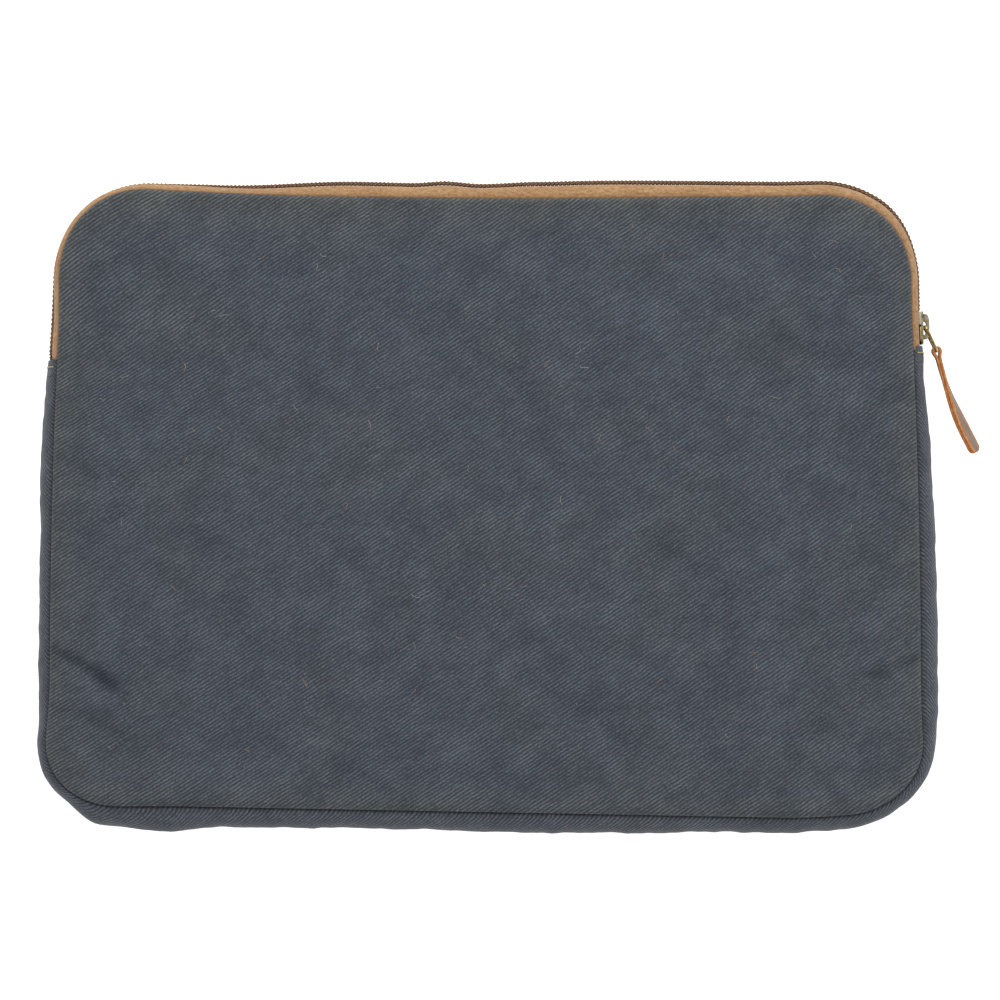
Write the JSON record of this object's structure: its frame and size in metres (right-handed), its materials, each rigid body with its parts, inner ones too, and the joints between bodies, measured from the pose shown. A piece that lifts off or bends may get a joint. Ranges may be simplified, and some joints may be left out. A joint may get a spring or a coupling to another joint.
{
  "type": "laptop sleeve",
  "caption": "Padded twill laptop sleeve with a coil zip round the top, a metal slider and a folded leather pull; the top of the front folds open.",
  "frame": {"origin": "centre of the back face, on the surface the sleeve lies on", "axes": "+X along the width, towards the slider; +Y towards the zip edge; +Z through the thickness, towards the front panel"},
  "size_m": [0.3672, 0.2535, 0.022],
  "materials": {
    "twill": "matte",
    "foam": "matte",
    "lining": "matte",
    "zip_tape": "matte",
    "zip_coil": "satin",
    "coil_cord": "matte",
    "thread": "satin",
    "antique_brass": "satin",
    "link_brass": "satin",
    "leather": "matte"
  },
  "bodies": {
    "sleeve": {"back_panel": "twill", "back_padding": "foam", "back_lining": "lining", "front_panel_lower": "twill", "front_padding_lower": "foam", "front_lining_lower": "lining", "gusset": "twill", "gusset_lining": "lining", "gusset_end_left": "twill", "gusset_end_right": "twill", "end_stitching_left": "thread", "end_stitching_right": "thread", "zip_tape_back": "zip_tape", "zip_coil_back": "zip_coil", "coil_cord_back": "coil_cord", "coil_thread_back": "thread"},
    "flap": {"front_panel_upper": "twill", "front_padding_upper": "foam", "front_lining_upper": "lining", "zip_tape_front": "zip_tape", "zip_coil_front": "zip_coil", "coil_cord_front": "coil_cord", "coil_thread_front": "thread"},
    "slider": {"slider_body": "antique_brass", "slider_bridge": "antique_brass"},
    "link": {"pull_link": "link_brass"},
    "pull": {"leather_pull": "leather"}
  },
  "joints": [
    {"name": "flap_fold", "type": "hinge", "parent": "sleeve", "child": "flap", "pos_m": [0, 0.0589, 0.022], "axis": [1, 0, 0], "range_deg": [0, 110]},
    {"name": "slider_travel", "type": "slide", "parent": "sleeve", "child": "slider", "axis": [0, 1, 0], "range_m": [0, 0.011]},
    {"name": "link_swing", "type": "hinge", "parent": "slider", "child": "link", "pos_m": [0.17215, 0.069, 0.011], "axis": [0, 0, 1], "range_deg": [-6, 120]},
    {"name": "pull_swing", "type": "hinge", "parent": "link", "child": "pull", "pos_m": [0.17684, 0.05938, 0.011], "axis": [0, 0, 1], "range_deg": [-6, 40]}
  ]
}
